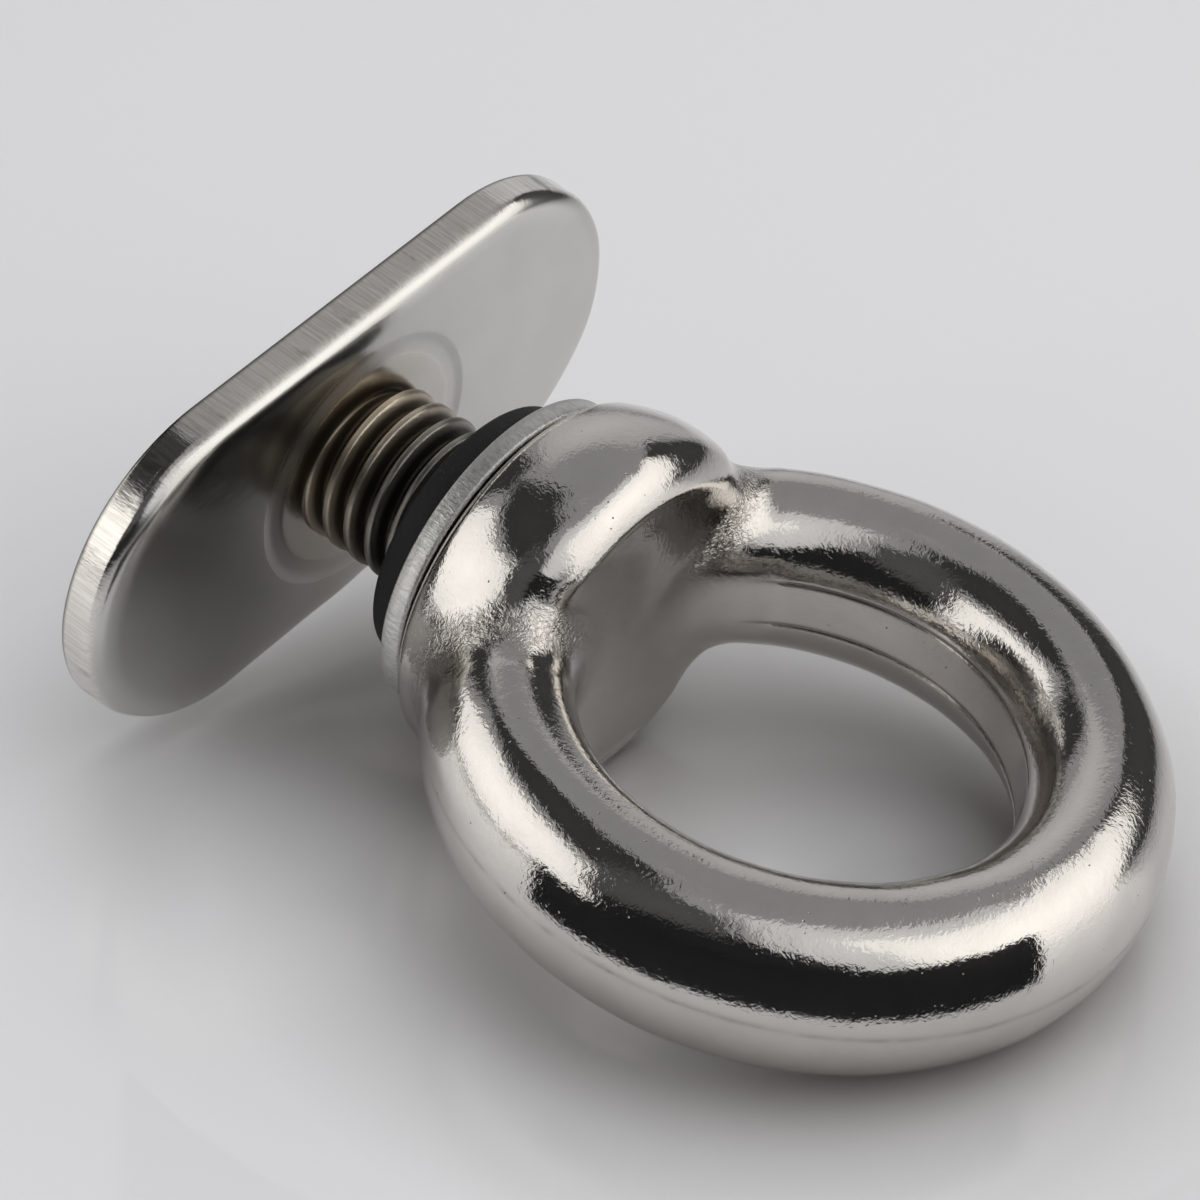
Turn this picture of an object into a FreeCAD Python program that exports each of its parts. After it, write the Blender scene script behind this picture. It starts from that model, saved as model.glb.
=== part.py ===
"""Track mount eye bolt: a cast eye that screws down on the stud of a track plate.

The plate slides inside a slotted track, the stud stands up through the slot, and the eye is
screwed down until its two washers clamp the track's lips. Lengths are in millimetres. +Z runs
up the stud from the plate's back, +X along the plate, and the origin is at the middle of the
plate's back.
"""
import FreeCAD
import Part
import math
import os

os.makedirs("parts", exist_ok=True)

# Track plate: a stamped obround that fits across the inside of a track
PLATE_LENGTH = 33.8
PLATE_WIDTH = 17.0
PLATE_THICKNESS = 2.3
PLATE_TOP_ROUNDING = 0.6
PLATE_BACK_ROUNDING = 0.25

# Stud: an M8 screw with a shoulder on the plate and a foot that is closed into a countersink
STUD_DIAMETER = 8.0
STUD_END_CHAMFER = 0.9
SHOULDER_WIDTH = 0.8
FOOT_FLARE = 0.8
FOOT_PLAY = 0.02

# Faint ring that the closing tool leaves on the plate round the stud
MARK_MARGIN = 1.4
MARK_WIDTH = 1.2
MARK_DEPTH = 0.1

# Washers: the rubber one grips the track, the steel one lets the eye turn on it
TRACK_GAP = 6.25
RUBBER_DIAMETER = 12.5
RUBBER_HOLE_PLAY = 0.1
RUBBER_THICKNESS = 1.8
RUBBER_ROUNDING = 0.3
STEEL_DIAMETER = 16.0
STEEL_HOLE_PLAY = 0.2
STEEL_THICKNESS = 1.6
STEEL_ROUNDING = 0.15
EYE_LIFT = 0.2

# Eye's boss: a short drafted round, tapped from below, with a roof over the stud's end
THREAD_ENGAGEMENT = 3.0
TAP_CLEARANCE = 1.3
THREAD_PLAY = 0.05
TAP_CHAMFER = 0.5
BOSS_ROOF = 1.15
BOSS_FOOT_DIAMETER = 18.4
BOSS_DRAFT = 0.7
BOSS_FOOT_ROUNDING = 0.5
BOSS_RIM_ROUNDING = 0.35
FOOT_WALL_SHARE = 0.7

# Eye's ring: an oval section with a narrow flat land round the hole
EYE_HOLE_DIAMETER = 19.5
LAND_WIDTH = 2.8
RING_WIDTH = 8.8
INNER_DEPTH = 3.3
OUTER_DEPTH = 3.25
FACE_DROP = 0.05
BLEND_RADIUS = 1.2
EYE_TURN = -11.5

# Heights up the stud, from the plate's back to the ring's centre
PLATE_TOP = PLATE_THICKNESS
RUBBER_BOTTOM = PLATE_TOP + TRACK_GAP
STEEL_BOTTOM = RUBBER_BOTTOM + RUBBER_THICKNESS
BOSS_BOTTOM = STEEL_BOTTOM + STEEL_THICKNESS + EYE_LIFT
STUD_TOP = BOSS_BOTTOM + THREAD_ENGAGEMENT
TAP_TOP = STUD_TOP + TAP_CLEARANCE
BOSS_FACE = TAP_TOP + BOSS_ROOF
RING_CENTRE = BOSS_FACE + FACE_DROP + EYE_HOLE_DIAMETER / 2

# Radii that several pieces share
STUD_RADIUS = STUD_DIAMETER / 2
FOOT_RADIUS = STUD_RADIUS - SHOULDER_WIDTH

UP = FreeCAD.Vector(0, 0, 1)
ORIGIN = FreeCAD.Vector(0, 0, 0)
SAME_HEIGHT = 1e-4


def turned(outline):
    """A solid of revolution about the stud's axis, from a closed outline of (radius, height) points."""
    corners = [FreeCAD.Vector(radius, 0, height) for radius, height in outline]
    wire = Part.makePolygon(corners + corners[:1])
    return Part.Face(wire).revolve(ORIGIN, UP, 360)


def edges_at(solid, height):
    """The edges of a solid that lie at one height."""
    def lies_there(edge):
        box = edge.BoundBox
        return abs(box.ZMin - height) < SAME_HEIGHT and abs(box.ZMax - height) < SAME_HEIGHT
    return [edge for edge in solid.Edges if lies_there(edge)]


def foot_outline(play):
    """The stud's foot below its shoulder: a spigot that flares out into the countersink."""
    radius = FOOT_RADIUS + play
    return [(0, 0), (radius + FOOT_FLARE, 0), (radius, FOOT_FLARE), (radius, PLATE_TOP), (0, PLATE_TOP)]


def closing_mark():
    """The shallow ring-shaped hollow round the stud, as the torus that is cut from the plate's top."""
    mark_radius = STUD_RADIUS + MARK_MARGIN + MARK_WIDTH / 2
    tool_radius = ((MARK_WIDTH / 2) ** 2 + MARK_DEPTH ** 2) / (2 * MARK_DEPTH)
    centre = FreeCAD.Vector(0, 0, PLATE_TOP - MARK_DEPTH + tool_radius)
    return Part.makeTorus(mark_radius, tool_radius, centre, UP)


def track_plate():
    """Obround plate with rounded edges and a countersunk hole for the stud's foot."""
    end = PLATE_WIDTH / 2
    run = PLATE_LENGTH / 2 - end
    left_front, right_front = FreeCAD.Vector(-run, -end, 0), FreeCAD.Vector(run, -end, 0)
    left_back, right_back = FreeCAD.Vector(-run, end, 0), FreeCAD.Vector(run, end, 0)
    outline = Part.Wire([
        Part.makeLine(left_front, right_front),
        Part.Arc(right_front, FreeCAD.Vector(run + end, 0, 0), right_back).toShape(),
        Part.makeLine(right_back, left_back),
        Part.Arc(left_back, FreeCAD.Vector(-run - end, 0, 0), left_front).toShape(),
    ])
    plate = Part.Face(outline).extrude(UP * PLATE_THICKNESS)
    plate = plate.makeFillet(PLATE_TOP_ROUNDING, edges_at(plate, PLATE_TOP))
    plate = plate.makeFillet(PLATE_BACK_ROUNDING, edges_at(plate, 0))
    return plate.cut(turned(foot_outline(FOOT_PLAY))).cut(closing_mark())


def threaded_stud():
    """Stud at its full thread diameter, seated by its shoulder on the plate."""
    tip_radius = STUD_RADIUS - STUD_END_CHAMFER
    chamfer_start = STUD_TOP - STUD_END_CHAMFER
    side = [(STUD_RADIUS, PLATE_TOP), (STUD_RADIUS, chamfer_start), (tip_radius, STUD_TOP)]
    shank = turned([(0, PLATE_TOP)] + side + [(0, STUD_TOP)])
    return turned(foot_outline(0)).fuse(shank).removeSplitter()


def washer(diameter, hole_diameter, thickness, bottom, rounding):
    """A flat round washer with rounded outer edges."""
    foot = FreeCAD.Vector(0, 0, bottom)
    disc = Part.makeCylinder(diameter / 2, thickness, foot, UP)
    disc = disc.makeFillet(rounding, edges_at(disc, bottom) + edges_at(disc, bottom + thickness))
    return disc.cut(Part.makeCylinder(hole_diameter / 2, thickness, foot, UP))


def rubber_washer():
    hole = STUD_DIAMETER + 2 * RUBBER_HOLE_PLAY
    return washer(RUBBER_DIAMETER, hole, RUBBER_THICKNESS, RUBBER_BOTTOM, RUBBER_ROUNDING)


def steel_washer():
    hole = STUD_DIAMETER + 2 * STEEL_HOLE_PLAY
    return washer(STEEL_DIAMETER, hole, STEEL_THICKNESS, STEEL_BOTTOM, STEEL_ROUNDING)


def ring():
    """The ring about its own axis, Y: an oval section whose inner half is cut off by the land."""
    hole = EYE_HOLE_DIAMETER / 2
    widest = hole + INNER_DEPTH
    land_share = LAND_WIDTH / RING_WIDTH
    inner_tip = INNER_DEPTH / math.sqrt(1 - land_share ** 2)
    land_angle = math.acos(land_share)
    centre = FreeCAD.Vector(0, 0, widest)
    side = FreeCAD.Vector(0, RING_WIDTH / 2, widest)
    outer = Part.Ellipse(side, FreeCAD.Vector(0, 0, widest + OUTER_DEPTH), centre)
    inner = Part.Ellipse(side, FreeCAD.Vector(0, 0, widest - inner_tip), centre)
    land = [FreeCAD.Vector(0, y, hole) for y in (-LAND_WIDTH / 2, LAND_WIDTH / 2)]
    section = Part.Wire([
        Part.Arc(outer, 0, math.pi).toShape(),
        Part.Arc(inner, math.pi - land_angle, math.pi).toShape(),
        Part.makeLine(land[0], land[1]),
        Part.Arc(inner, 0, land_angle).toShape(),
    ])
    return Part.Face(section).revolve(ORIGIN, FreeCAD.Vector(0, 1, 0), 360)


def foot_rounding():
    """The boss's foot rounding, held to a share of the plain wall between the arms' blend and the foot."""
    ring_radius = EYE_HOLE_DIAMETER / 2 + INNER_DEPTH + OUTER_DEPTH
    arm_radius = (BOSS_FOOT_DIAMETER - BOSS_DRAFT) / 2
    draft_angle = math.atan(BOSS_DRAFT / (BOSS_FACE - BOSS_BOTTOM))
    arm_angle = math.asin(arm_radius / ring_radius)
    blend_reach = BLEND_RADIUS * math.tan((math.pi / 2 - arm_angle + draft_angle) / 2)
    wall = RING_CENTRE - ring_radius * math.cos(arm_angle) - blend_reach - BOSS_BOTTOM
    return min(BOSS_FOOT_ROUNDING, FOOT_WALL_SHARE * wall / (1 + math.sin(draft_angle)))


def boss():
    """Drafted round boss below the ring, with a soft foot and a crisp rim."""
    foot_radius = BOSS_FOOT_DIAMETER / 2
    foot = FreeCAD.Vector(0, 0, BOSS_BOTTOM)
    body = Part.makeCone(foot_radius, foot_radius - BOSS_DRAFT, BOSS_FACE - BOSS_BOTTOM, foot, UP)
    body = body.makeFillet(foot_rounding(), edges_at(body, BOSS_BOTTOM))
    return body.makeFillet(BOSS_RIM_ROUNDING, edges_at(body, BOSS_FACE))


def blended(casting):
    """Fillets along the curved seams where the ring's arms run into the boss's tapered side."""
    def on_side(edge):
        box = edge.BoundBox
        return box.ZMin > BOSS_BOTTOM + SAME_HEIGHT and box.ZMax < BOSS_FACE - SAME_HEIGHT
    seams = [e for e in casting.Edges if e.Curve.TypeId == "Part::GeomBSplineCurve" and on_side(e)]
    return casting.makeFillet(BLEND_RADIUS, seams)


def tapped_hole():
    """The blind hole for the stud, at the thread's full diameter, chamfered at its mouth."""
    radius = STUD_RADIUS + THREAD_PLAY
    mouth = [(0, BOSS_BOTTOM), (radius + TAP_CHAMFER, BOSS_BOTTOM), (radius, BOSS_BOTTOM + TAP_CHAMFER)]
    return turned(mouth + [(radius, TAP_TOP), (0, TAP_TOP)])


def eye():
    """Ring and boss cast as one, blended where the arms leave the boss, tapped, and turned on the stud."""
    arms = ring()
    arms.translate(UP * RING_CENTRE)
    reach = arms.BoundBox.DiagonalLength
    buried = BOSS_BOTTOM + foot_rounding()
    lower_part = Part.makeBox(2 * reach, 2 * reach, reach, FreeCAD.Vector(-reach, -reach, buried - reach))
    casting = blended(boss().fuse(arms.cut(lower_part)))
    casting = casting.cut(tapped_hole())
    casting.rotate(ORIGIN, UP, EYE_TURN)
    return casting


def main():
    for piece in (track_plate, threaded_stud, rubber_washer, steel_washer, eye):
        shape = piece()
        shape.exportStep(f"parts/{piece.__name__}.step")
        print(piece.__name__, shape.isValid(), len(shape.Solids), "solid", round(shape.Volume, 1), "mm3")


main()
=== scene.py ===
"""Looks of the track mount eye bolt: five pieces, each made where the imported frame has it."""
import math

import bmesh
import bpy
import numpy as np
from mathutils import Matrix, Vector


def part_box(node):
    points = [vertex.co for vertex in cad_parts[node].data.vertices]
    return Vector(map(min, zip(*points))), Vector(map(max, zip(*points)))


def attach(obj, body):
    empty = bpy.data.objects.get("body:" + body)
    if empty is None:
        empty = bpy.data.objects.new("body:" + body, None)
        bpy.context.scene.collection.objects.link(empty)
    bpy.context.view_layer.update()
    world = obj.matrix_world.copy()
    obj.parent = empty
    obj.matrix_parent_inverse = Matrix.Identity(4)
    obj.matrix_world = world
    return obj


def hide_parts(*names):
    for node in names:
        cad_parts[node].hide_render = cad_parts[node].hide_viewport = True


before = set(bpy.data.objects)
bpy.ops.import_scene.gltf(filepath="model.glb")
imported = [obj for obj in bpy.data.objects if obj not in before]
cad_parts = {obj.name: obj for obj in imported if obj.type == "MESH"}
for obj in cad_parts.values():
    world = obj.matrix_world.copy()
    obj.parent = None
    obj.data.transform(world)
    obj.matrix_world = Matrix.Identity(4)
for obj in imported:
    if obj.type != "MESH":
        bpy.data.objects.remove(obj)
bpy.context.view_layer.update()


# Track plate: an obround slug sheared from stainless bar, its upper edge tumbled round and bright,
# its face satin polished. The stud's foot is closed in its countersunk hole, and the closing tool
# has left a shallow ring round the stud. Made as one sheet of loops from the hole out and back.

MM = 0.001
plate_low, plate_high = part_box("track_plate")
plate_length = (plate_high.x - plate_low.x) / MM
plate_width = (plate_high.y - plate_low.y) / MM
plate_top = plate_high.z / MM
edge_round = 0.6
face_roll = 1.5
roll_depth = 0.13
back_round = 0.25
back_inside = 4.6
tear_depth = 0.010
foot_hole = 3.22
foot_hole_mouth = 4.02
seat_radius = 4.0
mark_inside = 4.8
mark_radius = 6.0
mark_outside = 7.0
mark_width = 1.2
mark_depth = 0.07


class Wire:
    """One socket of a node tree. Operators add Math nodes, and node() adds any other node."""

    def __init__(self, tree, socket=None):
        self.tree = tree
        self.socket = socket

    def node(self, kind, settings=None, sockets=None, out=0):
        """A new node: its settings come first, then each socket's value or link."""
        made = self.tree.nodes.new(kind)
        for name, value in (settings or {}).items():
            setattr(made, name, value)
        for key, value in (sockets or {}).items():
            if isinstance(value, Wire):
                self.tree.links.new(value.socket, made.inputs[key])
            else:
                made.inputs[key].default_value = value
        return Wire(self.tree, made.outputs[out] if made.outputs else None)

    def math(self, operation, *others):
        """A Math node on this value and the others."""
        values = dict(enumerate((self, *others)))
        return self.node("ShaderNodeMath", {"operation": operation}, values)

    def __add__(self, other):
        return self.math("ADD", other)

    def __sub__(self, other):
        return self.math("SUBTRACT", other)

    def __rsub__(self, other):
        return self.node("ShaderNodeMath", {"operation": "SUBTRACT"}, {0: other, 1: self})

    def __mul__(self, other):
        return self.math("MULTIPLY", other)

    def __truediv__(self, other):
        return self.math("DIVIDE", other)

    def __pow__(self, other):
        return self.math("POWER", other)

    def __abs__(self):
        return self.math("ABSOLUTE")

    __radd__ = __add__
    __rmul__ = __mul__

    def step(self, low, high, to_low=0.0, to_high=1.0):
        """A soft step of this value: to_low below low, to_high above high."""
        ends = {0: self, 1: low, 2: high, 3: to_low, 4: to_high}
        return self.node("ShaderNodeMapRange", {"interpolation_type": "SMOOTHSTEP"}, ends)

    def parts(self):
        """The three numbers of this vector."""
        split = self.node("ShaderNodeSeparateXYZ", sockets={0: self})
        return [Wire(self.tree, socket) for socket in split.socket.node.outputs]

    def in_mm(self):
        """The three numbers of this place, in mm."""
        return [part * 1000 for part in self.parts()]

    def scaled(self, x, y, z):
        """This vector, stretched by three plain numbers."""
        return self.node("ShaderNodeVectorMath", {"operation": "MULTIPLY"}, {0: self, 1: (x, y, z)})

    def tint(self, low, high):
        """The colour low where this value is 0 and high where it is 1."""
        ends = {0: self}
        for key, colour in ((6, low), (7, high)):
            ends[key] = colour if isinstance(colour, Wire) else (*colour, 1)
        return self.node("ShaderNodeMix", {"data_type": "RGBA"}, ends, out=2)

    def grain(self, size, detail=3.0, rough=0.55, twist=0.0):
        """Cloudy noise from 0 to 1 with spots of about this size in mm, on this place."""
        sockets = {"Vector": self, "Scale": 1 / (size * MM), "Detail": detail, "Roughness": rough}
        return self.node("ShaderNodeTexNoise", sockets={**sockets, "Distortion": twist})

    def cells(self, size):
        """How far this place is from the nearest of scattered points, about this many mm apart."""
        return self.node("ShaderNodeTexVoronoi", sockets={"Vector": self, "Scale": 1 / (size * MM)})

    def relief(self, height_mm):
        """A normal that stands this value, times so many mm, out of the surface."""
        return self.node("ShaderNodeBump", sockets={"Height": self, "Distance": height_mm * MM})

    def attribute(self, name):
        """The number that the mesh holds at each of its points under this name."""
        return self.node("ShaderNodeAttribute", {"attribute_name": name}, out="Fac")


def emptied(owner):
    """The node tree of a material or of the world, cleared, as a Wire to start from."""
    owner.use_nodes = True
    owner.node_tree.nodes.clear()
    return Wire(owner.node_tree)


def finish_of(name, paint):
    """A material whose Principled shader has the sockets that paint(place) gives."""
    material = bpy.data.materials.new(name)
    start = emptied(material)
    place = start.node("ShaderNodeTexCoord", out="Object")
    shader = start.node("ShaderNodeBsdfPrincipled", sockets=paint(place))
    start.node("ShaderNodeOutputMaterial", sockets={"Surface": shader})
    return material


def body_of_rows(name, rows, material, close_rows=False):
    """A smooth mesh of closed loops of points in mm, one loop after another, each (columns, 3)."""
    rows = np.asarray(rows)
    count, columns = rows.shape[:2]
    points = rows.reshape(-1, 3) * MM
    faces = []
    for r in range(count if close_rows else count - 1):
        here = r * columns
        there = (r + 1) % count * columns
        for c in range(columns):
            d = (c + 1) % columns
            faces.append((here + c, here + d, there + d, there + c))
    mesh = bpy.data.meshes.new(name)
    mesh.from_pydata(points.tolist(), [], faces)
    return finished(name, mesh, material)


def finished(name, mesh, material):
    """The mesh as an object of its own: doubles merged, facing outwards, smooth, with its material."""
    tidy = bmesh.new()
    tidy.from_mesh(mesh)
    bmesh.ops.remove_doubles(tidy, verts=tidy.verts, dist=1e-7)
    bmesh.ops.recalc_face_normals(tidy, faces=tidy.faces)
    tidy.to_mesh(mesh)
    tidy.free()
    mesh.shade_smooth()
    mesh.materials.clear()
    mesh.materials.append(material)
    piece = bpy.data.objects.new(name, mesh)
    bpy.context.scene.collection.objects.link(piece)
    return piece


def swell(points, size, seed):
    """Slow random swelling from about -1 to 1 over points in mm, with waves of this size in mm."""
    count = 14
    dice = np.random.default_rng(seed)
    ways = dice.normal(size=(count, 3))
    ways *= (dice.uniform(0.6, 1.4, count) / np.linalg.norm(ways, axis=1))[:, None]
    shifts = dice.uniform(0, 2 * np.pi, count)
    return np.sin(points @ ways.T * (2 * np.pi / size) + shifts).sum(axis=-1) / np.sqrt(count)


def plate_rows():
    """The plate's loops: hole, mark, face, upper edge, wall, back edge, back face and countersink."""
    columns = 540
    turn = np.linspace(0, 2 * np.pi, columns, endpoint=False)
    ray = np.stack([np.cos(turn), np.sin(turn)], axis=1)
    end = plate_width / 2
    run = plate_length / 2 - end
    straight = end / np.maximum(np.abs(ray[:, 1]), 1e-9)
    at_end = np.abs(ray[:, 0]) * straight > run
    lean = np.abs(ray[:, 0]) * run
    round_end = lean + np.sqrt(np.maximum(lean ** 2 - run ** 2 + end ** 2, 0))
    hit = ray * np.where(at_end, round_end, straight)[:, None]
    core = np.stack([np.clip(hit[:, 0], -run, run), np.zeros(columns)], axis=1)
    out = (hit - core) / end

    def loop(flat, height):
        return np.column_stack([flat, np.broadcast_to(height, columns)])

    def circle(radius, height):
        return loop(ray * radius, height)

    def outline(inset, height):
        return loop(core + out * (end - np.asarray(inset)).reshape(-1, 1), height)

    def between(first, last, shares):
        return [first + (last - first) * share for share in shares]

    rows = [circle(radius, plate_top) for radius in (foot_hole, seat_radius, mark_inside)]
    tool_round = ((mark_width / 2) ** 2 + mark_depth ** 2) / (2 * mark_depth)
    mark_reach = mark_width / 2 + 0.15
    for aside in np.linspace(-mark_reach, mark_reach, 20):
        sunk = np.sqrt(max(tool_round ** 2 - aside ** 2, 0)) - (tool_round - mark_depth)
        rows.append(circle(mark_radius + aside, plate_top - max(sunk, 0)))
    rows += between(circle(mark_outside, plate_top), outline(face_roll, plate_top), np.linspace(0, 1, 9))

    rim = loop(hit, 0)
    uneven = swell(rim, 5.0, 3)
    roll = roll_depth * (1 + 0.2 * uneven)
    for share in np.linspace(0, 1, 9)[1:]:
        inset = face_roll + (edge_round - face_roll) * share
        rows.append(outline(inset, plate_top - roll * share ** 2))
    tilt = math.atan(2 * roll_depth / (face_roll - edge_round))
    for angle in np.linspace(tilt, np.pi / 2, 11)[1:]:
        inset = edge_round * (1 - (math.sin(angle) - math.sin(tilt)) / (1 - math.sin(tilt)))
        drop = edge_round * (math.cos(tilt) - math.cos(angle)) / (1 - math.sin(tilt))
        rows.append(outline(inset, plate_top - roll - drop * (1 + 0.1 * uneven)))

    torn = (swell(rim, 0.9, 4) + swell(rim, 0.35, 5)) / 2
    wall_top = plate_top - roll_depth - edge_round * 1.25 - 0.2
    wall_low = back_round + 0.1
    for height in np.linspace(wall_top, wall_low, 8):
        share = (height - back_round) / (plate_top - back_round)
        dent = tear_depth * (1 + torn) * math.sin(math.pi * share)
        rows.append(outline(np.abs(dent), height))
    for angle in np.linspace(0, np.pi / 2, 5):
        inset = back_round * (1 - math.cos(angle))
        rows.append(outline(inset, back_round * (1 - math.sin(angle))))
    rows += between(outline(back_round, 0), circle(back_inside, 0), (0.3, 0.65, 1.0))
    rows += [circle(foot_hole_mouth, 0), circle(foot_hole, foot_hole_mouth - foot_hole)]
    return rows


def plate_finish(place):
    x, y, z = place.in_mm()
    facing = place.node("ShaderNodeNewGeometry", out="True Normal").parts()[2]
    wall = 1 - abs(facing).step(0.25, 0.8)
    polished = 1 - wall
    straight = 1 - abs(x).step(8.0, 10.5)
    reach = (x * x + y * y) ** 0.5
    cloud = place.grain(3.5)
    shear = place.scaled(1, 1, 0.04).grain(0.11, 3, 0.6)
    tear = place.scaled(1, 1, 0.3).grain(1.4, 4, 0.65)
    brush = place.scaled(0.12, 1, 1).grain(0.3, 3)
    mark = 1 - abs(reach - mark_radius).step(0.2, 0.8)
    rings = (reach * 9).math("SINE")
    heat = (1 - reach.step(seat_radius - 0.1, mark_radius + 0.4)) * cloud.step(0.3, 0.62)
    shaded_side = (0 - y).step(-6.0, 7.0)
    steel = cloud.tint((0.56, 0.545, 0.52), (0.66, 0.65, 0.63))
    face = (heat * 0.5).tint(steel, (0.50, 0.43, 0.33))
    sheared = shear.step(0.3, 0.72).tint((0.67, 0.64, 0.60), (0.85, 0.825, 0.78))
    scuffed = tear.step(0.56, 0.72) * wall * 0.6
    wear_and_shade = scuffed.tint(wall.tint(face, sheared), (0.25, 0.235, 0.21))
    back_line = (1 - z.step(0.12, 0.36)) * (1 - abs(facing).step(0.86, 0.97)) * 0.85
    roughness = 0.10 + cloud * 0.06 + polished * (0.08 + mark * 0.14)
    roughness = roughness + wall * straight * (0.26 + shear * 0.2) + shaded_side * 0.03
    height = wall * (shear * (0.15 + straight * 0.35) + tear * 1.3)
    height = height + polished * (brush * 0.05 + place.grain(1.6, 2) * 0.4)
    height = height + mark * rings * 0.12 + place.grain(0.12, 2) * 0.07
    return {
        "Base Color": back_line.tint(wear_and_shade, (0.10, 0.09, 0.08)),
        "Metallic": 1.0,
        "Roughness": roughness,
        "Normal": height.relief(0.035),
    }


plate = body_of_rows("plate_slug", plate_rows(), finish_of("plate_steel", plate_finish), close_rows=True)
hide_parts("track_plate")
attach(plate, "track_bolt")


# Threaded stud: M8 stainless screw stock with a rolled thread, its reduced foot pressed through the
# plate and closed in the countersink. The heat of the work has left it straw gold near the plate.
# The thread is one sheet rolled up by Geometry Nodes; the foot is turned and joined to it.

stud_low, stud_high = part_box("threaded_stud")
stud_top = stud_high.z / MM
stud_radius = (stud_high.x - stud_low.x) / 2 / MM
pitch = 1.25
thread_depth = 0.72
thread_columns = 144
thread_rows = 230
end_chamfer = 0.9
foot_radius = 3.2
foot_flare = 0.8
foot_top = plate_top + 0.02


def grown(name, inputs, material, wiring):
    """The plain mesh of a Geometry Nodes tree. inputs gives each named input's kind and value, and
    wiring(start, *inputs) makes the geometry, which is then made real and given its material."""
    tree = bpy.data.node_groups.new(name, "GeometryNodeTree")
    values = {}
    for label, (kind, value) in inputs.items():
        socket = tree.interface.new_socket(label, in_out="INPUT", socket_type=kind)
        values[socket.identifier] = value
    tree.interface.new_socket("Geometry", in_out="OUTPUT", socket_type="NodeSocketGeometry")
    start = Wire(tree)
    given = start.node("NodeGroupInput").socket.node
    made = wiring(start, *(Wire(tree, given.outputs[label]) for label in inputs))
    real = start.node("GeometryNodeRealizeInstances", sockets={0: made})
    dressed = start.node("GeometryNodeSetMaterial", sockets={"Geometry": real, "Material": material})
    start.node("NodeGroupOutput", sockets={0: dressed})

    holder = bpy.data.objects.new("holder", bpy.data.meshes.new("holder"))
    bpy.context.scene.collection.objects.link(holder)
    modifier = holder.modifiers.new("nodes", "NODES")
    modifier.node_group = tree
    for identifier, value in values.items():
        modifier[identifier] = value
    seen = holder.evaluated_get(bpy.context.evaluated_depsgraph_get())
    mesh = bpy.data.meshes.new_from_object(seen)
    holder.modifiers.remove(modifier)
    bpy.data.objects.remove(holder)
    return mesh


def rolled_thread(start, crest, depth, rise, bottom, top, chamfer):
    """A sheet of points, rolled up round the stud and waved along a helix, its two ends shut."""
    size = {0: 1.0, 1: 1.0, 2: thread_columns + 1, 3: thread_rows}
    sheet = start.node("GeometryNodeMeshGrid", sockets=size)
    across, along, _ = start.node("GeometryNodeInputPosition").parts()
    turned_by = across + 0.5
    last = 1 / (thread_rows - 1)
    share = start.node("ShaderNodeClamp", sockets={0: (along + 0.5 - last) / (1 - 2 * last)})
    height = bottom + (top - bottom) * share
    phase = ((height - bottom) / rise - turned_by).math("FRACT")
    slope = 1 - abs(phase - 0.5) * 2
    flank = (slope - 0.14) / 0.62
    flank = flank.math("SMOOTH_MAX", 0.0, 0.25).math("SMOOTH_MIN", 1.0, 0.22)
    tapered = crest - chamfer + (top - height)
    radius = (crest - depth + depth * flank).math("MINIMUM", tapered)
    radius = radius * abs(along).math("LESS_THAN", 0.5 - last * 0.5)
    angle = turned_by * (2 * math.pi)
    spot = {0: radius * angle.math("COSINE"), 1: radius * angle.math("SINE"), 2: height}
    spot = start.node("ShaderNodeCombineXYZ", sockets=spot)
    rolled = start.node("GeometryNodeSetPosition", sockets={"Geometry": sheet, "Position": spot})
    return start.node("GeometryNodeMergeByDistance", sockets={"Geometry": rolled, "Distance": 1e-6})


def turned(profile, columns):
    """Loops of a turned piece: one circle about the stud's axis for each (radius, height) in mm."""
    turn = np.linspace(0, 2 * np.pi, columns, endpoint=False)
    return [np.column_stack([r * np.cos(turn), r * np.sin(turn), np.full(columns, z)]) for r, z in profile]


def joined(pieces):
    """One object of several, in the first one's place and name."""
    whole = bmesh.new()
    for piece in pieces:
        whole.from_mesh(piece.data)
    whole.to_mesh(pieces[0].data)
    whole.free()
    for piece in pieces[1:]:
        bpy.data.objects.remove(piece)
    pieces[0].data.shade_smooth()
    return pieces[0]


def thread_finish(place):
    x, y, z = place.in_mm()
    reach = (x * x + y * y) ** 0.5
    cloud = place.grain(1.1)
    crest = reach.step(stud_radius - 0.42, stud_radius - 0.08)
    near_plate = (1 - (z + cloud * 2.5).step(plate_top + 2.2, plate_top + 5.2)) * z.step(0.1, 0.4)
    rolled = place.scaled(0.25, 0.25, 1).grain(0.12, 3)
    # Painted shade: the thread's steel is made dark all over and darkest in the roots between the crests. The
    # straw tint near the plate is darkened in its roots the same way.
    steel = crest.tint((0.05, 0.045, 0.04), (0.30, 0.285, 0.26))
    straw = crest.tint((0.09, 0.07, 0.05), (0.50, 0.44, 0.35))
    return {
        "Base Color": near_plate.tint(steel, straw),
        "Metallic": 1.0,
        "Roughness": 0.42 - crest * 0.12 + cloud * 0.1,
        "Normal": (rolled + cloud * 0.6).relief(0.02),
    }


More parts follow.
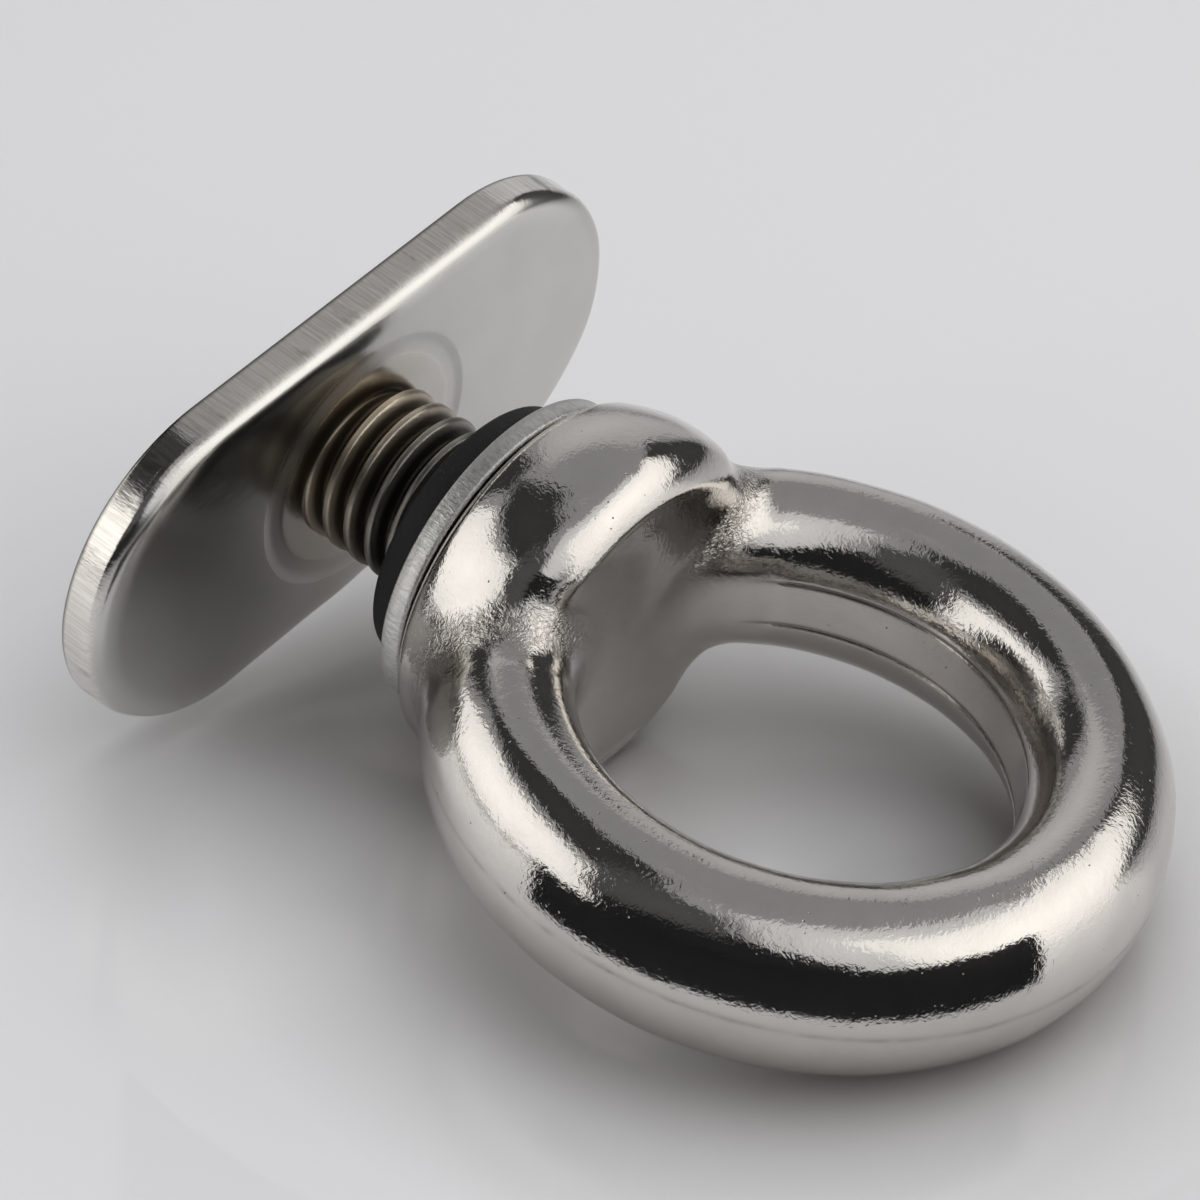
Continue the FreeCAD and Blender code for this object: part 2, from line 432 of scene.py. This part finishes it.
thread_steel = finish_of("thread_steel", thread_finish)
thread_sizes = {
    "Crest radius": stud_radius,
    "Thread depth": thread_depth,
    "Pitch": pitch,
    "Bottom": plate_top,
    "Top": stud_top,
    "End chamfer": end_chamfer,
}
thread_inputs = {name: ("NodeSocketFloat", size * MM) for name, size in thread_sizes.items()}
thread_mesh = grown("rolled_thread", thread_inputs, thread_steel, rolled_thread)
thread = finished("thread", thread_mesh, thread_steel)
foot_profile = [(0, 0), (foot_radius + foot_flare - 0.1, 0), (foot_radius + foot_flare, 0.03)]
foot_profile += [(foot_radius, foot_flare), (foot_radius, foot_top), (0, foot_top)]
foot = body_of_rows("foot", turned(foot_profile, thread_columns), thread_steel)
stud = joined([thread, foot])
stud.name = "stud_m8"
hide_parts("threaded_stud")
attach(stud, "track_bolt")


# Rubber washer: black, pressed on the thread so that it holds the eye off the track's lips. Cut from
# sheet, with soft edges, it is squeezed out past its plain size and a little bellied at its wall.
# Turned as one closed ring.

rubber_low, rubber_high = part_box("rubber_washer")
rubber_squeeze = 0.25
rubber_radius = (rubber_high.x - rubber_low.x) / 2 / MM + rubber_squeeze
rubber_bottom = rubber_low.z / MM
rubber_top = rubber_high.z / MM
rubber_hole = stud_radius + 0.1
rubber_round = 0.3
rubber_belly = 0.05


def washer_section(inner, outer, bottom, top, low_round, high_round, belly):
    """(radius, height) round a washer's section: outer edges rounded, hole's edges broken."""
    broken = 0.12
    wall = outer - belly
    wall_low, wall_high = bottom + low_round, top - high_round
    quarter = np.linspace(0, np.pi / 2, 8)
    points = [(inner, bottom + broken), (inner + broken, bottom)]
    for angle in quarter:
        points.append((wall - low_round * (1 - math.sin(angle)), bottom + low_round * (1 - math.cos(angle))))
    for share in np.linspace(0, 1, 9)[1:-1]:
        bulge = belly * math.sin(math.pi * share)
        points.append((wall + bulge, wall_low + (wall_high - wall_low) * share))
    for angle in quarter:
        points.append((wall - high_round * (1 - math.cos(angle)), top - high_round * (1 - math.sin(angle))))
    return points + [(inner + broken, top), (inner, top - broken)]


def rubber_finish(place):
    cloud = place.grain(1.8)
    dust = place.grain(0.18, 2, 0.7).step(0.62, 0.78) * cloud.step(0.42, 0.62)
    cut = place.scaled(1, 1, 0.12).grain(0.3, 3)
    black = cloud.tint((0.006, 0.006, 0.007), (0.014, 0.014, 0.015))
    return {
        "Base Color": (dust * 0.5).tint(black, (0.12, 0.118, 0.112)),
        "Roughness": 0.5 + cloud * 0.16 + dust * 0.2,
        "Normal": (cut * 0.8 + place.grain(0.09, 2) * 0.35).relief(0.03),
        "IOR": 1.38,
    }


rubber_section = washer_section(
    rubber_hole, rubber_radius, rubber_bottom, rubber_top, rubber_round, rubber_round, rubber_belly)
rubber_steps = turned(rubber_section, 192)
rubber = body_of_rows("washer_rubber", rubber_steps, finish_of("rubber", rubber_finish), close_rows=True)
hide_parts("rubber_washer")
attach(rubber, "washers")


# Steel washer: a plain M8 stainless washer, punched from sheet. The punch has drawn its upper edge
# round and left the wall burnished above and torn below, with fine lines across its thickness.
# It is lower than the solid, because the boss's foot stands deeper, and a little smaller.

steel_low, steel_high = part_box("steel_washer")
steel_trimmed = 0.2
steel_lowered = 0.55
steel_radius = (steel_high.x - steel_low.x) / 2 / MM - steel_trimmed
steel_bottom = steel_low.z / MM
steel_top = steel_high.z / MM - steel_lowered
steel_hole = stud_radius + 0.2
steel_low_round = 0.12
steel_high_round = 0.22
steel_belly = 0.015


def washer_finish(place):
    x, y, z = place.in_mm()
    reach = (x * x + y * y) ** 0.5
    wall = reach.step(steel_radius - 0.35, steel_radius - 0.12)
    cloud = place.grain(2.2)
    lines = place.scaled(1, 1, 0.3).grain(0.16, 4, 0.65)
    torn = 1 - (z + cloud * 0.4).step(steel_bottom + 0.35, steel_bottom + 0.65)
    shade = (lines.step(0.32, 0.7) * wall).tint((0.60, 0.59, 0.565), (0.80, 0.79, 0.765))
    height = wall * lines * 1.8 + wall * torn * place.grain(0.2) * 1.2 + cloud * 0.5
    return {
        "Base Color": (wall * torn * lines.step(0.4, 0.66) * 0.55).tint(shade, (0.33, 0.32, 0.30)),
        "Metallic": 1.0,
        "Roughness": 0.2 + cloud * 0.08 + wall * (0.06 + torn * 0.16 + lines * 0.08),
        "Normal": height.relief(0.03),
    }


steel_section = washer_section(
    steel_hole, steel_radius, steel_bottom, steel_top, steel_low_round, steel_high_round, steel_belly)
steel_steps = turned(steel_section, 256)
washer = body_of_rows("washer_steel", steel_steps, finish_of("washer_steel", washer_finish), close_rows=True)
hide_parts("steel_washer")
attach(washer, "washers")


# Eye: one stainless investment casting, polished by hand. A ring of oval section, flat on the inside of
# its hole, runs into a short barrel-shaped boss with a soft shoulder and foot, tapped M8 from below.
# The ring is a section swept by Geometry Nodes, the boss is turned, and the two are united and blended.

eye_low, eye_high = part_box("eye")
foot_drop = 0.6
foot_round = 0.8
foot_edge = 7.8
boss_bottom = eye_low.z / MM - foot_drop
boss_widest = 9.3
boss_belly = boss_bottom + 3.7
boss_rim = boss_bottom + 6.4
barrel_radius = 7.0
shoulder_round = 1.9
rim_slope = math.radians(60)
lip_width = 0.34
lip_height = 0.05
lip_soft = 0.012
hole_radius = 9.75
land_width = 2.8
groove_place = 0.07
groove_width = 0.028
groove_depth = 0.09
ring_half_width = 4.4
inner_depth = 3.3
outer_depth = 3.25
inner_tip = inner_depth / math.sqrt(1 - (land_width / 2 / ring_half_width) ** 2)
ring_middle = hole_radius + inner_depth
ring_centre = eye_high.z / MM - ring_middle - outer_depth
ring_steps = 420
eye_turn = math.radians(-11.5)
ring_axis = np.array([-math.sin(eye_turn), math.cos(eye_turn), 0])
ring_across = np.array([math.cos(eye_turn), math.sin(eye_turn), 0])
hidden_radius = 8.2
hidden_floor = boss_bottom + 0.9
tap_radius = stud_radius + 0.05
tap_chamfer = 0.5
tap_mouth = tap_radius + tap_chamfer
tap_top = eye_low.z / MM + 4.3
blend_reach = 2.4
blend_zone = 3.4
blend_rounds = 16
melt_zone = 2.2
melt_rounds = 110
polish_wave = 5.0
polish_depth = 0.020
parting_width = 0.16
trim_width = 0.08


def ring_section():
    """(outwards, along the axis) round the ring's section in mm. A fine trimming groove runs along
    each edge of the land, and the points are closer together there."""
    points = []
    land = math.asin(land_width / 2 / ring_half_width)
    for angle in np.linspace(-math.pi + land, math.pi - land, 117):
        out, side = math.cos(angle), math.sin(angle)
        points.append((out * (outer_depth if out > 0 else inner_tip), side * ring_half_width))
    first, last = points[0][1], points[-1][1]
    half = (0.012, 0.03, 0.05, 0.075, 0.1, 0.125, 0.16, 0.27, 0.4)
    for share in (*half, 0.5, *(1 - share for share in reversed(half))):
        from_groove = (min(share, 1 - share) - groove_place) / groove_width
        groove = groove_depth * math.exp(-from_groove ** 2)
        points.append((groove - inner_depth, last + (first - last) * share))
    return points


def closed_curve(points):
    """An object that holds one flat closed curve through points in mm."""
    curve = bpy.data.curves.new("section", "CURVE")
    spline = curve.splines.new("POLY")
    spline.points.add(len(points) - 1)
    for point, (out, side) in zip(spline.points, points):
        point.co = (out * MM, side * MM, 0, 1)
    spline.use_cyclic_u = True
    holder = bpy.data.objects.new("section", curve)
    bpy.context.scene.collection.objects.link(holder)
    return holder


def swept_ring(start, section, radius, steps):
    """The section, swept round a circle about Z."""
    profile = start.node("GeometryNodeObjectInfo", sockets={"Object": section}, out="Geometry")
    path = start.node("GeometryNodeCurvePrimitiveCircle", sockets={"Resolution": steps, "Radius": radius})
    return start.node("GeometryNodeCurveToMesh", sockets={"Curve": path, "Profile Curve": profile})


def faded(value, width):
    """0 where the value is 0 or less, 1 where it is width or more, and even between."""
    return np.clip(value / width, 0, 1)


def across_ring(p):
    """Each point's place in the ring's section in mm: along the ring's axis, and outwards."""
    return p @ ring_axis, np.hypot(p @ ring_across, p[:, 2] - ring_centre) - ring_middle


def ring_gap(p):
    """How far each point is outside the plain ring, in mm, and below zero inside it."""
    side, depth = across_ring(p)
    half = np.where(depth > 0, outer_depth, inner_tip)
    oval = np.hypot(side / ring_half_width, depth / half)
    slope = np.hypot(side / ring_half_width ** 2, depth / half ** 2) / np.maximum(oval, 1e-6)
    oval = (oval - 1) / np.maximum(slope, 1e-6)
    land = -inner_depth - depth
    soft = 0.02 + 0.6 * faded(boss_rim + 5.0 - p[:, 2], 4.0)
    share = np.clip(0.5 + (oval - land) / soft / 2, 0, 1)
    return land + (oval - land) * share + soft * share * (1 - share)


def rounded_off(one, two, radius):
    """The gap to what two surfaces leave between them, its edge rounded off."""
    u, v = one + radius, two + radius
    return np.hypot(np.maximum(u, 0), np.maximum(v, 0)) + np.minimum(np.maximum(u, v), 0) - radius


def boss_gap(p):
    """How far each point is outside the plain boss, in mm, and below zero inside it."""
    from_belly = p[:, 2] - boss_belly
    wall = np.hypot(p[:, 0], p[:, 1]) - boss_widest + from_belly ** 2 / (2 * barrel_radius)
    wall = wall / np.hypot(1, from_belly / barrel_radius)
    crown = p[:, 2] - boss_rim - shoulder_round * (1 - math.sin(rim_slope))
    shoulder = rounded_off(wall, crown, shoulder_round)
    foot = rounded_off(wall, boss_bottom - p[:, 2], foot_round)
    return np.maximum(np.maximum(shoulder, foot), p[:, 2] - boss_rim)


def seam_gap(p):
    """How far each point is, in mm, from where the ring and the boss meet."""
    return np.maximum(ring_gap(p), boss_gap(p))


def slope_of(gap, p):
    """The outward direction of a gap at each point."""
    step = 0.004
    ways = [gap(p + step * np.eye(3)[k]) - gap(p - step * np.eye(3)[k]) for k in range(3)]
    way = np.stack(ways, axis=1)
    return way / np.maximum(np.linalg.norm(way, axis=1), 1e-9)[:, None]


def onto_blend(p, reach):
    """The points moved on to a fillet of radius reach between ring and boss, or else on to the nearer
    of the two, and how far each is into the fillet, from 0 to 1."""
    for _ in range(7):
        a, b = reach - ring_gap(p), reach - boss_gap(p)
        na, nb = slope_of(ring_gap, p), slope_of(boss_gap, p)
        facing = np.clip((na * nb).sum(axis=1), -0.9, 0.995)
        x = (a - facing * b) / (1 - facing ** 2)
        y = (b - facing * a) / (1 - facing ** 2)
        inside = (x > 0) & (y > 0)
        towards = na * x[:, None] + nb * y[:, None]
        far = np.maximum(np.linalg.norm(towards, axis=1), 1e-9)
        rolled = towards / far[:, None] * (far - reach)[:, None]
        plain = np.where((a > b)[:, None], na, nb) * (np.maximum(a, b) - reach)[:, None]
        p = p + np.where(inside[:, None], rolled, plain)
    depth = np.where(inside, np.minimum(x, y) / np.maximum(np.maximum(x, y), 1e-9), 0)
    return p, depth


def last_inside(near, far, inside):
    """The furthest number from near towards far at which inside(number) holds, found by halving."""
    for _ in range(40):
        middle = (near + far) / 2
        near, far = (middle, far) if inside(middle) else (near, middle)
    return near


def boss_rows():
    """The boss's loops, from the middle of its face over lip, shoulder, barrel and foot to its bottom."""
    def in_boss(r, z):
        return boss_gap(np.array([[r, 0, z]]))[0] < 0

    rim = last_inside(6.0, 9.0, lambda r: in_boss(r, boss_rim - 1e-5))
    lip = rim - lip_width
    face = boss_rim - lip_height
    profile = [(r, face) for r in np.linspace(0, lip - 0.05, 34)]
    profile += [(lip - 0.02, face + lip_soft), (lip + 0.02, boss_rim - lip_soft), (lip + 0.06, boss_rim)]
    profile += [(rim - 0.06, boss_rim), (rim - 0.015, boss_rim - 0.008)]
    heart = np.array([5.0, boss_belly])
    top_angle = math.atan2(boss_rim - heart[1], rim - heart[0])
    low_angle = math.atan2(boss_bottom - heart[1], foot_edge - heart[0])
    for angle in np.linspace(top_angle - 0.012, low_angle, 52):
        way = np.array([math.cos(angle), math.sin(angle)])
        reach = last_inside(0.0, 9.0, lambda far: in_boss(*(heart + way * far)))
        profile.append(tuple(heart + way * reach))
    profile += [(6.5, boss_bottom), (0, boss_bottom)]
    return turned(profile, 300)


def united(first, others):
    """The first object's mesh after boolean steps, each (operation, object), which are used up."""
    for operation, other in others:
        step = first.modifiers.new(operation, "BOOLEAN")
        step.operation = operation
        step.solver = "EXACT"
        step.object = other
    mesh = bpy.data.meshes.new_from_object(first.evaluated_get(bpy.context.evaluated_depsgraph_get()))
    for piece in [first] + [other for operation, other in others]:
        bpy.data.objects.remove(piece)
    return mesh


def numbers_of(items, name, width, kind=float):
    """One property of a mesh's points or edges, as rows of this many numbers."""
    flat = np.empty(len(items) * width, dtype=kind)
    items.foreach_get(name, flat)
    return flat.reshape(-1, width)


def neighbour_mean(values, edges):
    """For each point, the mean of these rows over the points that share an edge with it."""
    count = np.bincount(edges.ravel(), minlength=len(values))
    total = np.zeros_like(values)
    for one, two in ((0, 1), (1, 0)):
        for k in range(values.shape[1]):
            total[:, k] += np.bincount(edges[:, one], values[edges[:, two], k], minlength=len(values))
    return total / count[:, None]


def eye_finish(place):
    seam = place.attribute("seam")
    parting = place.attribute("parting")
    trim = place.attribute("trim") * 0.75
    cloud = place.grain(4.5)
    mottle = place.grain(1.3, 4, 0.6)
    peel = place.grain(0.3, 2, 0.5, 1.0)
    fine = place.grain(0.13, 3, 0.65)
    strokes = place.grain(0.3, 2, 0.5, 2.4)
    pits = 1 - place.cells(0.55).step(0.03, 0.11)
    pits = pits * place.grain(2.6).step(0.46, 0.6)
    crease = seam.step(0.1, 0.7) * (0.3 + mottle * 1.2)
    line = parting * mottle.step(0.2, 0.7) * 0.7
    steel = mottle.tint((0.57, 0.545, 0.515), (0.675, 0.65, 0.62))
    # Painted shade: the steel is made darker and browner in the crease where ring and boss blend.
    wear_and_shade = (crease * 0.5).tint(steel, (0.50, 0.465, 0.42))
    marked = (pits * 0.8).tint(wear_and_shade, (0.17, 0.15, 0.13))
    trimmed = trim.tint(marked, (0.16, 0.14, 0.12))
    skin = peel * 0.55 + fine * 0.13 + mottle * 0.8
    height = skin - pits * 0.8 - line * fine * 1.6 + crease * strokes * 5.0
    return {
        "Base Color": (line * 0.75).tint(trimmed, (0.30, 0.255, 0.21)),
        "Metallic": 1.0,
        "Roughness": 0.05 + cloud * 0.05 + mottle * 0.03 + crease * 0.06 + line * 0.12 + pits * 0.25,
        "Normal": height.relief(0.022),
    }


cast_steel = finish_of("cast_steel", eye_finish)
ring_curve = closed_curve(ring_section())
ring_inputs = {
    "Section": ("NodeSocketObject", ring_curve),
    "Radius": ("NodeSocketFloat", ring_middle * MM),
    "Steps": ("NodeSocketInt", ring_steps),
}
ring_mesh = grown("swept_ring", ring_inputs, cast_steel, swept_ring)
bpy.data.objects.remove(ring_curve)
lying = numbers_of(ring_mesh.vertices, "co", 3) / MM
stood = np.outer(lying[:, 0], ring_across) + np.outer(lying[:, 2], ring_axis)
stood[:, 2] += lying[:, 1] + ring_centre
hidden = np.hypot(stood[:, 0], stood[:, 1]) < hidden_radius
stood[hidden, 2] = np.maximum(stood[hidden, 2], hidden_floor)
ring_mesh.vertices.foreach_set("co", (stood * MM).ravel())
ring = finished("ring", ring_mesh, cast_steel)
boss = body_of_rows("boss", boss_rows(), cast_steel)
tap = [(0, boss_bottom - 1), (tap_mouth, boss_bottom - 1), (tap_mouth, boss_bottom)]
tap += [(tap_radius, boss_bottom + tap_chamfer), (tap_radius, tap_top), (0, tap_top)]
drill = body_of_rows("drill", turned(tap, 96), cast_steel)
casting = united(boss, [("UNION", ring), ("DIFFERENCE", drill)])

shaped = bmesh.new()
shaped.from_mesh(casting)
bmesh.ops.triangulate(shaped, faces=[f for f in shaped.faces if len(f.verts) > 4])
bmesh.ops.remove_doubles(shaped, verts=shaped.verts, dist=0.03 * MM)
shaped.to_mesh(casting)
shaped.free()

spots = numbers_of(casting.vertices, "co", 3) / MM
edges = numbers_of(casting.edges, "vertices", 2, int)
outside = (np.hypot(spots[:, 0], spots[:, 1]) > tap_mouth + 0.3) | (spots[:, 2] > tap_top + 0.5)
outside &= spots[:, 2] > boss_bottom + 0.02
from_seam = seam_gap(spots)
near = (from_seam < blend_zone) & outside
share = faded(blend_zone - from_seam, 0.9)[near][:, None]
moved, depth = onto_blend(spots[near], blend_reach)
spots[near] += (moved - spots[near]) * share * share * (3 - 2 * share)
seam = np.zeros(len(spots))
seam[near] = depth
for _ in range(blend_rounds):
    busy = seam > 0.02
    relaxed = (spots[busy] + neighbour_mean(spots, edges)[busy]) / 2
    spots[busy], seam[busy] = onto_blend(relaxed, blend_reach)

melted = faded(melt_zone - seam_gap(spots), 1.5) * outside * faded(spots[:, 2] - boss_bottom - 0.7, 0.8)
flow = np.column_stack([spots, seam])
pull = np.column_stack([melted, melted, melted, np.ones(len(flow))]) / 2
for _ in range(melt_rounds):
    flow += (neighbour_mean(flow, edges) - flow) * pull
spots, seam = flow[:, :3].copy(), flow[:, 3]

casting.vertices.foreach_set("co", (spots * MM).ravel())
ways = numbers_of(casting.vertices, "normal", 3)
uneven = swell(spots, polish_wave, 11) * outside * faded(spots[:, 2] - boss_bottom - 0.1, 0.8)
spots += ways * (polish_depth * uneven)[:, None]
casting.vertices.foreach_set("co", (spots * MM).ravel())

side, depth = across_ring(spots)
over_rim = spots[:, 2] - boss_rim
parting = np.exp(-(side / parting_width) ** 2) * (depth > 1.5) * (over_rim > 0)
from_trim = np.abs(side) - land_width / 2 * (1 - 2 * groove_place)
trim = np.exp(-(from_trim / trim_width) ** 2) * (depth < 0.2 - inner_depth) * faded(over_rim - 1.5, 1)
for name, values in (("seam", seam), ("parting", parting), ("trim", trim)):
    casting.attributes.new(name, "FLOAT", "POINT").data.foreach_set("value", values)
eye = finished("eye_casting", casting, cast_steel)
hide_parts("eye")
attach(eye, "eye_body")


# Table: a pale glossy board under the bolt as it lies, on its ring's flank and its boss's rim. It shows
# from its upper side only, so that the bolt's underside can be seen through it. What stands close over
# it darkens its colour, for the shadow where the bolt touches it.

table_lean = math.radians(10.04)
table_up = Vector(ring_axis) * math.cos(table_lean) - Vector((0, 0, 1)) * math.sin(table_lean)
table_drop = 11.45 * MM
table_half = 2.0
shadow_reach = 11 * MM


def table_finish():
    """The board's material: see-through from behind, and darker close under the bolt."""
    material = bpy.data.materials.new("table_board")
    start = emptied(material)
    sky = start.node("ShaderNodeAmbientOcclusion", {"samples": 1}, {"Distance": shadow_reach}, out="AO")
    pale = sky.tint((0.20, 0.18, 0.165), (0.90, 0.90, 0.925))
    gloss = {"Base Color": pale, "Roughness": 0.14, "IOR": 1.45}
    board = start.node("ShaderNodeBsdfPrincipled", sockets=gloss)
    away = start.node("ShaderNodeNewGeometry", out="Backfacing")
    clear = start.node("ShaderNodeBsdfTransparent")
    mixed = start.node("ShaderNodeMixShader", sockets={0: away, 1: board, 2: clear})
    start.node("ShaderNodeOutputMaterial", sockets={"Surface": mixed})
    return material


def staged(name, points, faces, material):
    """A sheet of points in metres that isn't part of the bolt."""
    mesh = bpy.data.meshes.new(name)
    mesh.from_pydata(points, [], faces)
    mesh.materials.append(material)
    sheet = bpy.data.objects.new(name, mesh)
    bpy.context.scene.collection.objects.link(sheet)
    return sheet


table_turn = table_up.to_track_quat("Z", "Y").to_matrix()
table_corners = [Vector((a * table_half, b * table_half, 0)) for a, b in ((-1, -1), (1, -1), (1, 1), (-1, 1))]
table_points = [table_up * -table_drop + table_turn @ corner for corner in table_corners]
staged("table", table_points, [(0, 1, 2, 3)], table_finish())


# Camera: at the photograph's place, looking down on the bolt as it lies. Its aim, distance, angles and
# lens were solved from the outlines of plate, washers, boss and ring.

aim = Vector((-1.766, 3.898, 17.535)) * MM
distance = 174.552 * MM
azimuth = math.radians(146.087)
elevation = math.radians(23.161)
roll = math.radians(-124.392)
forward = Vector((math.sin(azimuth), math.cos(azimuth), 0)) * math.cos(elevation)
forward.z = -math.sin(elevation)
flat_right = forward.cross(Vector((0, 0, 1))).normalized()
flat_up = flat_right.cross(forward)
up = flat_right * math.sin(roll) + flat_up * math.cos(roll)
right = forward.cross(up)
facing = Matrix((right, up, -forward)).transposed().to_4x4()
camera = bpy.data.objects.new("camera", bpy.data.cameras.new("camera"))
camera.data.lens = 122.79
camera.data.clip_start = 0.01
camera.data.clip_end = 20
camera.matrix_world = Matrix.Translation(aim - forward * distance) @ facing
bpy.context.scene.collection.objects.link(camera)
bpy.context.scene.camera = camera


# Light: soft boxes low at both sides, a window above and dark cloths hang on a dome about the bolt. The
# steel mirrors them and the camera doesn't see them. The grey room, the back wall and the cloths in
# front are only mirrored, the walls only light the room, and a lamp overhead lights the table.

toward = (-forward - table_up * (-forward).dot(table_up)).normalized()
sideways = table_up.cross(toward)
dome_middle = Vector((0, 0, 22)) * MM
whole_dome = [(-180, -89), (180, -89), (180, 89), (-180, 89)]
low_band = [(-180, 2), (180, 2), (180, 32), (-180, 32)]


def dome_point(around, above, reach):
    """A point of the dome: degrees round the bolt from the camera's side, degrees above the table."""
    around, above = math.radians(around), math.radians(above)
    level = toward * math.cos(around) + sideways * math.sin(around)
    return dome_middle + (level * math.cos(above) + table_up * math.sin(above)) * reach


def glow_of(name, glow, colour, sampled):
    """A material that glows in this colour as far as the mesh's points are bright."""
    material = bpy.data.materials.new(name)
    start = emptied(material)
    shade = start.attribute("bright").tint((0, 0, 0), colour)
    glowing = start.node("ShaderNodeEmission", sockets={"Color": shade, "Strength": glow})
    start.node("ShaderNodeOutputMaterial", sockets={"Surface": glowing})
    material.cycles.emission_sampling = "AUTO" if sampled else "NONE"
    return material


def hung(name, corners, glow, colour=(1, 1, 1.01), lights_room=True, mirrored=True, reach=0.55, steps=12):
    """A cloth on the dome between four corners, each (around, above), brightest in its middle."""
    points = []
    bright = []
    for i in range(steps + 1):
        for j in range(steps + 1):
            u, v = i / steps, j / steps
            weights = ((1 - u) * (1 - v), u * (1 - v), u * v, (1 - u) * v)
            around, above = (sum(w * corner[k] for w, corner in zip(weights, corners)) for k in (0, 1))
            points.append(dome_point(around, above, reach))
            bright.append(0.78 + 0.22 * math.sin(math.pi * u) * math.sin(math.pi * v))
    row = steps + 1
    firsts = [i * row + j for i in range(steps) for j in range(steps)]
    faces = [(a, a + 1, a + row + 1, a + row) for a in firsts]
    cloth = staged(name, points, faces, glow_of(name, glow, colour, lights_room))
    cloth.data.attributes.new("bright", "FLOAT", "POINT").data.foreach_set("value", bright)
    cloth.visible_camera = False
    cloth.visible_glossy = mirrored
    cloth.visible_diffuse = lights_room
    cloth.visible_shadow = lights_room


hung("grey_room", whole_dome, 0.40, lights_room=False, reach=0.65, steps=24)
hung("walls", low_band, 1.05, mirrored=False, reach=0.64, steps=16)
hung("soft_box_left", [(-134, 1), (-50, 1), (-53, 36), (-112, 40)], 1.5, (1, 0.985, 0.96))
hung("soft_box_right", [(52, -1), (99, -1), (140, 47), (27, 47)], 1.62, (1, 0.985, 0.955))
hung("window", [(6, 24), (60, 2), (112, 56), (2, 66)], 0.95, (0.98, 0.99, 1), reach=0.56)
hung("cloth_front", [(-50, -3), (47, -3), (-6, 36), (-47, 36)], 0.02, (1, 1, 1.05), False)
hung("cloth_front_low", [(-54, -26), (50, -26), (52, 5), (-49, 5)], 0.02, (1, 1, 1.05), False, reach=0.03)
hung("cloth_over_left", [(-136, 46), (-30, 44), (-34, 78), (-128, 78)], 0.05, (1, 1, 1.02))
hung("cloth_strip_left", [(-54, 16), (-10, 28), (-4, 52), (-48, 62)], 0.1, (1, 1, 1.02), reach=0.54)
hung("back_wall", [(158, -2), (196, 14), (214, 54), (160, 42)], 0.62, lights_room=False, reach=0.56)
hung("cloth_back_right", [(101, -4), (146, -4), (160, 34), (140, 46)], 0.06, (1, 1, 1.02), reach=0.53)
hung("cloth_back_left", [(-158, -14), (-134, -14), (-124, 44), (-146, 44)], 0.05, (1, 1, 1.02))

lamp = bpy.data.lights.new("overhead", "AREA")
lamp.shape = "RECTANGLE"
lamp.size = 1.0
lamp.size_y = 0.8
lamp.energy = 1.95
overhead = bpy.data.objects.new("overhead", lamp)
overhead.location = dome_middle + table_up * 0.6
overhead.rotation_mode = "QUATERNION"
overhead.rotation_quaternion = table_up.to_track_quat("Z", "Y")
overhead.visible_glossy = False
bpy.context.scene.collection.objects.link(overhead)

world = bpy.data.worlds.new("room")
start = emptied(world)
kinds = ("Is Camera Ray", "Is Glossy Ray", "Is Transmission Ray")
seen, mirrored, through = (start.node("ShaderNodeLightPath", out=kind) for kind in kinds)
shown = seen.math("MAXIMUM", mirrored.math("MAXIMUM", through))
pale = shown.tint((0.34, 0.34, 0.34), (0.70, 0.70, 0.715))
room = start.node("ShaderNodeBackground", sockets={"Color": pale, "Strength": 1.0})
start.node("ShaderNodeOutputWorld", sockets={"Surface": room})
bpy.context.scene.world = world
bpy.context.scene.view_settings.view_transform = "Standard"
